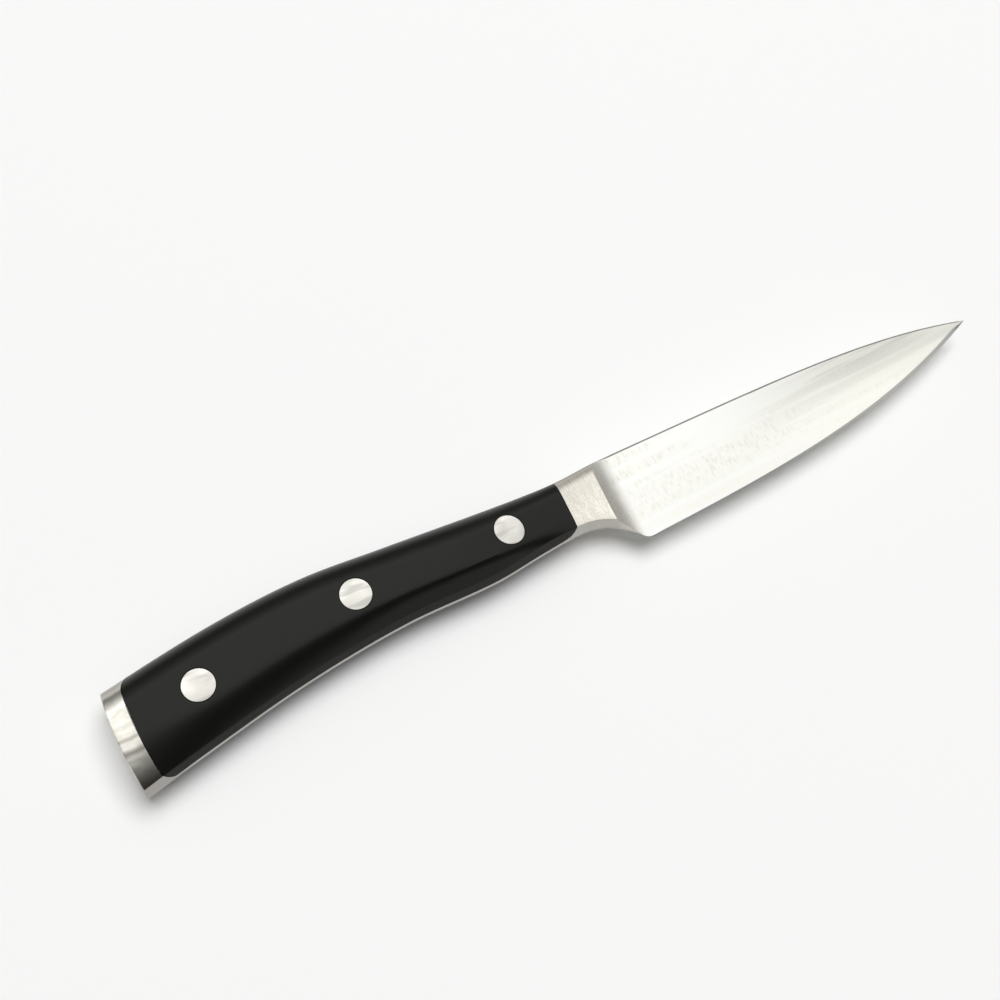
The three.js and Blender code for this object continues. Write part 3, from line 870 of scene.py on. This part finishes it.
# The whole forging, with painted shade where it faces the spine or the belly and in the fillet
CAP_END = (BUTT_JOINT + 0.004, BUTT_JOINT + 0.008)  # along which the cap's look ends
BRUSH_LENGTHS = (0.00022, 0.004, 0.004)
BRUSH_ROUGHNESS = 0.06
BRUSH_STRENGTH = 0.15
BRUSH_DEPTH = 0.00002
BOLSTER_ROUGHNESS = 0.38
CAP_ROUGHNESS = 0.20
BLADE_ROUGHNESS = 0.30
HANDLE_SPINE_FACING = (0.45, 0.95)
HANDLE_SPINE_SHARE = 0.9
HANDLE_SPINE_PAINTED_SHADE = (0.22, 0.21, 0.19)
# Painted shade in the fillet at the bolster's front
FILLET_FACING = (0.25, 0.6)  # how far a surface faces the tip
FILLET_SHARE = 0.45
FILLET_PAINTED_SHADE = (0.42, 0.41, 0.38)
# Painted shade where the forging faces down towards the belly
BELLY_FACING = (-0.85, -0.6)
BELLY_SHARE = 0.8
BELLY_PAINTED_SHADE = (0.36, 0.35, 0.33)


def steel_material():
    """Satin blade, brushed bolster and polished butt cap."""
    material, tree, shader = new_material("blade_steel")
    place = knife_place(tree)
    x = axis(tree, place, "X")
    to_spine = axis(tree, facing(tree), "Y")
    to_tip = axis(tree, facing(tree), "X")
    on_blade = fade(tree, x, BOLSTER_FRONT, FILLET_END, 0, 1)
    on_cap = fade(tree, x, *CAP_END, 1, 0)
    brushed = grain(tree, place, BRUSH_LENGTHS)

    handle = mix(tree, on_cap, bolster_colour(tree, place, brushed), cap_colour(tree, place))
    # painted shade where the cap and bolster face the spine
    above = fade(tree, to_spine, *HANDLE_SPINE_FACING, 0, HANDLE_SPINE_SHARE)
    handle = mix(tree, above, handle, HANDLE_SPINE_PAINTED_SHADE)
    colour = mix(tree, on_blade, handle, blade_colour(tree, place, to_spine))
    # painted shade in the fillet
    colour = mix(tree, fade(tree, to_tip, *FILLET_FACING, 0, FILLET_SHARE), colour, FILLET_PAINTED_SHADE)
    # painted shade on the underside
    colour = mix(tree, fade(tree, to_spine, *BELLY_FACING, BELLY_SHARE, 0), colour, BELLY_PAINTED_SHADE)
    tree.links.new(colour, shader.inputs["Base Color"])

    rough = mix_values(tree, on_cap, BOLSTER_ROUGHNESS, CAP_ROUGHNESS)
    rough = mix_values(tree, on_blade, rough, BLADE_ROUGHNESS)
    rough = plus(tree, rough, times(tree, brushed, BRUSH_ROUGHNESS))
    tree.links.new(rough, shader.inputs["Roughness"])
    shader.inputs["Metallic"].default_value = 1
    bump(tree, shader, brushed, BRUSH_STRENGTH, BRUSH_DEPTH)
    return material


# Scales: black moulded plastic with a fine satin surface, duller underneath
SATIN_LENGTHS = (0.00035, 0.00035, 0.00035)
SATIN_RANGE = (0.3, 0.7)
SATIN_ROUGHNESS = (0.28, 0.35)
SATIN_STRENGTH = 0.12
SATIN_DEPTH = 0.00003
CLOUD_LENGTHS = (0.012, 0.006, 0.006)
SCALE_DARK = (0.0016, 0.0016, 0.0013)
SCALE_LIGHT = (0.0034, 0.0034, 0.0029)
SCALE_BELLY_FACING = (-0.9, -0.7)
SCALE_BELLY_ROUGHNESS = 0.35  # added there
SCALE_SPECULAR = 0.27
SCALE_SPECULAR_TINT = (1, 1, 0.93, 1)


def scale_material():
    material, tree, shader = new_material("black_scale")
    place = knife_place(tree)
    satin = grain(tree, place, SATIN_LENGTHS)
    cloud = grain(tree, place, CLOUD_LENGTHS)
    tree.links.new(mix(tree, cloud, SCALE_DARK, SCALE_LIGHT), shader.inputs["Base Color"])
    to_spine = axis(tree, facing(tree), "Y")
    beneath = fade(tree, to_spine, *SCALE_BELLY_FACING, SCALE_BELLY_ROUGHNESS, 0)
    rough = plus(tree, fade(tree, satin, *SATIN_RANGE, *SATIN_ROUGHNESS), beneath)
    tree.links.new(rough, shader.inputs["Roughness"])
    shader.inputs["Specular IOR Level"].default_value = SCALE_SPECULAR
    shader.inputs["Specular Tint"].default_value = SCALE_SPECULAR_TINT
    bump(tree, shader, satin, SATIN_STRENGTH, SATIN_DEPTH)
    return material


# Rivets: bright steel, ground flush, with a few soft grey bands of painted reflection
RIVET_BAND_ANGLE = 0.12  # between the bands and the knife's length, in radians
RIVET_BAND_LENGTHS = (0.008, 0.0016, 0.008)
RIVET_BAND_DETAIL = 1.0
RIVET_BAND_RANGE = (0.50, 0.66)
RIVET_BAND_SHARE = 0.8
RIVET_CLOUD_LENGTHS = (0.006, 0.006, 0.006)
RIVET_CLOUD_RANGE = (0.35, 0.65)
RIVET_DULL = (0.62, 0.605, 0.555)
RIVET_BRIGHT = (0.75, 0.735, 0.685)
RIVET_PAINTED_REFLECTION = (0.47, 0.465, 0.43)
RIVET_ROUGHNESS = (0.28, 0.22)
RIVET_STRENGTH = 0.1
RIVET_DEPTH = 0.00003


def rivet_material():
    material, tree, shader = new_material("rivet_steel")
    place = knife_place(tree)
    turn = {"Vector": place, "Angle": RIVET_BAND_ANGLE}
    turned_place = node(tree, "VectorRotate", turn, rotation_type="Z_AXIS")
    bands = grain(tree, turned_place, RIVET_BAND_LENGTHS, RIVET_BAND_DETAIL)
    bands = fade(tree, bands, *RIVET_BAND_RANGE, 0, RIVET_BAND_SHARE)
    cloud = fade(tree, grain(tree, place, RIVET_CLOUD_LENGTHS), *RIVET_CLOUD_RANGE, 0, 1)
    # painted reflection: soft grey bands over the rivet steel
    colour = mix(tree, bands, mix(tree, cloud, RIVET_DULL, RIVET_BRIGHT), RIVET_PAINTED_REFLECTION)
    tree.links.new(colour, shader.inputs["Base Color"])
    tree.links.new(fade(tree, cloud, 0, 1, *RIVET_ROUGHNESS), shader.inputs["Roughness"])
    shader.inputs["Metallic"].default_value = 1
    bump(tree, shader, cloud, RIVET_STRENGTH, RIVET_DEPTH)
    return material


materials = {
    "blade_steel": steel_material(),
    "black_scale": scale_material(),
    "rivet_steel": rivet_material(),
}
for body, cad_node, slot in pieces:
    body.data.materials.clear()
    body.data.materials.append(materials[slot])

# Table: white paper, lifted a little where it is seen, directly or in the steel
TABLE_SIZE = 6
TABLE_COLOUR = (0.93, 0.93, 0.925, 1)
TABLE_ROUGHNESS = 0.9
TABLE_LIFT = 0.04


def table_material():
    material, tree, shader = new_material("table_white")
    rays = tree.nodes.new("ShaderNodeLightPath")
    seen = rays.outputs["Is Camera Ray"]
    for ray in ("Is Glossy Ray", "Is Transmission Ray"):
        seen = larger(tree, seen, rays.outputs[ray])
    shader.inputs["Base Color"].default_value = TABLE_COLOUR
    shader.inputs["Roughness"].default_value = TABLE_ROUGHNESS
    shader.inputs["Specular IOR Level"].default_value = 0
    shader.inputs["Emission Color"].default_value = (1, 1, 1, 1)
    tree.links.new(times(tree, seen, TABLE_LIFT), shader.inputs["Emission Strength"])
    return material


bpy.ops.mesh.primitive_plane_add(size=TABLE_SIZE, location=(0, 0, cad_low.z))
table = bpy.context.object
table.name = "table"
table.data.materials.append(table_material())

# Light: a ceiling that dims towards the horizon and both sides, a brighter strip in it and a pale wall
LIGHT_LEVEL = 1.25
HORIZON_LEVEL = 0.02  # share of that level at the horizon
EDGE_SIDE_LEVEL = 0.1  # share of it far out on the edge's side
SPINE_SIDE_LEVEL = 0.5  # share of it far out on the spine's side
STRIP_LEVEL = 0.9  # added by the strip, which lies on the spine's side
WALL_LEVEL = 0.6  # of the pale wall along the horizon
DIFFUSE_SHARE = 0.32  # of this light that falls on dull surfaces, where the lamp gives the rest
EDGE_SIDE = (-0.85, -0.2)  # these are ranges of Y, and for the wall of Z, of a unit direction
SPINE_SIDE = (0.45, 0.9)
STRIP_START = (0.26, 0.36)
STRIP_END = (0.38, 0.52)
WALL_TOP = (0.14, 0.24)
world = bpy.data.worlds.new("studio")
bpy.context.scene.world = world
world.use_nodes = True
sky = world.node_tree
toward = node(sky, "TexCoord", {}, output="Generated")
toward_y = axis(sky, toward, "Y")
toward_z = axis(sky, toward, "Z")
rising = {"Value": toward_z, "To Min": HORIZON_LEVEL * LIGHT_LEVEL, "To Max": LIGHT_LEVEL}
level = node(sky, "MapRange", rising)
level = times(sky, level, fade(sky, toward_y, *EDGE_SIDE, EDGE_SIDE_LEVEL, 1))
level = times(sky, level, fade(sky, toward_y, *SPINE_SIDE, 1, SPINE_SIDE_LEVEL))
strip = times(sky, fade(sky, toward_y, *STRIP_START, 0, 1), fade(sky, toward_y, *STRIP_END, STRIP_LEVEL, 0))
level = larger(sky, plus(sky, level, strip), fade(sky, toward_z, *WALL_TOP, WALL_LEVEL, 0))
diffuse_ray = node(sky, "LightPath", {}, output="Is Diffuse Ray")
level = times(sky, level, fade(sky, diffuse_ray, 0, 1, 1, DIFFUSE_SHARE))
background = sky.nodes["Background"]
background.inputs["Color"].default_value = (1, 1, 1, 1)
sky.links.new(level, background.inputs["Strength"])

# Lamp
LAMP_DISTANCE = 2.0
LAMP_SIZE = 1.3
LAMP_TOWARD = Vector((0.08, 0.11, 1)).normalized()
LAMP_WATTS = 30.6
lamp_data = bpy.data.lights.new("lamp", "AREA")
lamp_data.shape = "DISK"
lamp_data.size = LAMP_SIZE
lamp_data.energy = LAMP_WATTS
lamp = bpy.data.objects.new("lamp", lamp_data)
lamp.location = LAMP_TOWARD * LAMP_DISTANCE
lamp.rotation_euler = LAMP_TOWARD.to_track_quat("Z", "Y").to_euler()
lamp.visible_glossy = False
bpy.context.scene.collection.objects.link(lamp)

# Camera
CAMERA_PLACE = Vector((0.0006, -0.0603, 0.2373))  # from the butt end, in the knife's own coordinates
CAMERA_FORWARD = Vector((0.3139, 0.2685, -0.9107)).normalized()
CAMERA_RIGHT = Vector((0.8534, -0.5001, 0.1467)).normalized()
CAMERA_LENS = 48.6
CAMERA_SENSOR = 36
CAMERA_CLIP_START = 0.01
camera_data = bpy.data.cameras.new("camera")
camera_data.lens = CAMERA_LENS
camera_data.sensor_width = CAMERA_SENSOR
camera_data.clip_start = CAMERA_CLIP_START
camera = bpy.data.objects.new("camera", camera_data)
bpy.context.scene.collection.objects.link(camera)
camera_up = CAMERA_RIGHT.cross(CAMERA_FORWARD)
axes = Matrix((CAMERA_RIGHT, camera_up, -CAMERA_FORWARD)).transposed().to_4x4()
camera.matrix_world = Matrix.Translation(CAMERA_PLACE + shift) @ axes
bpy.context.scene.camera = camera
bpy.context.scene.view_settings.view_transform = "Standard"
